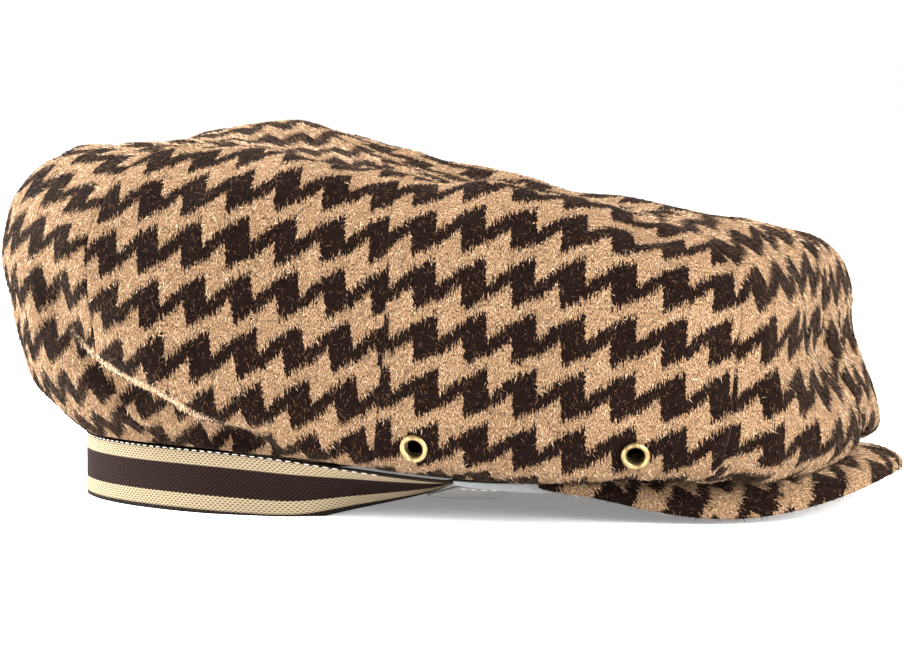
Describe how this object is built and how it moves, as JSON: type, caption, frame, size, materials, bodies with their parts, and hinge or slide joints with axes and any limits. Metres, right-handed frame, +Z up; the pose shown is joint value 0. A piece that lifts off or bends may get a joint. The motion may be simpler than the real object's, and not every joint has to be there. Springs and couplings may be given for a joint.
{
  "type": "driving cap",
  "caption": "Soft houndstooth driving cap with a full crown of eight gores, short arched peak, striped ribbon sweatband and brass vent eyelets, resting on its band.",
  "frame": {"origin": "on the surface that the cap rests on, under the middle of its outline", "axes": "+X to the front of the cap over the peak, +Y to the wearer's left, +Z up"},
  "size_m": [0.2674, 0.1804, 0.1112],
  "materials": {
    "crown_wool": "brushed woollen cloth in a camel and dark brown houndstooth",
    "peak_wool": "the same brushed houndstooth over a stiff board",
    "ribbon": "ribbed striped ribbon, dark brown and camel",
    "label_cloth": "plain white satin",
    "brass": "aged satin brass"
  },
  "bodies": {
    "root": {"gore_right_front": "crown_wool", "gore_right_fore_side": "crown_wool", "gore_right_hind_side": "crown_wool", "gore_right_rear": "crown_wool", "gore_left_front": "crown_wool", "gore_left_fore_side": "crown_wool", "gore_left_hind_side": "crown_wool", "gore_left_rear": "crown_wool", "peak": "peak_wool", "sweatband": "ribbon", "label": "label_cloth", "eyelet_right_rear": "brass", "eyelet_right_front": "brass", "eyelet_left_rear": "brass", "eyelet_left_front": "brass"}
  },
  "joints": []
}
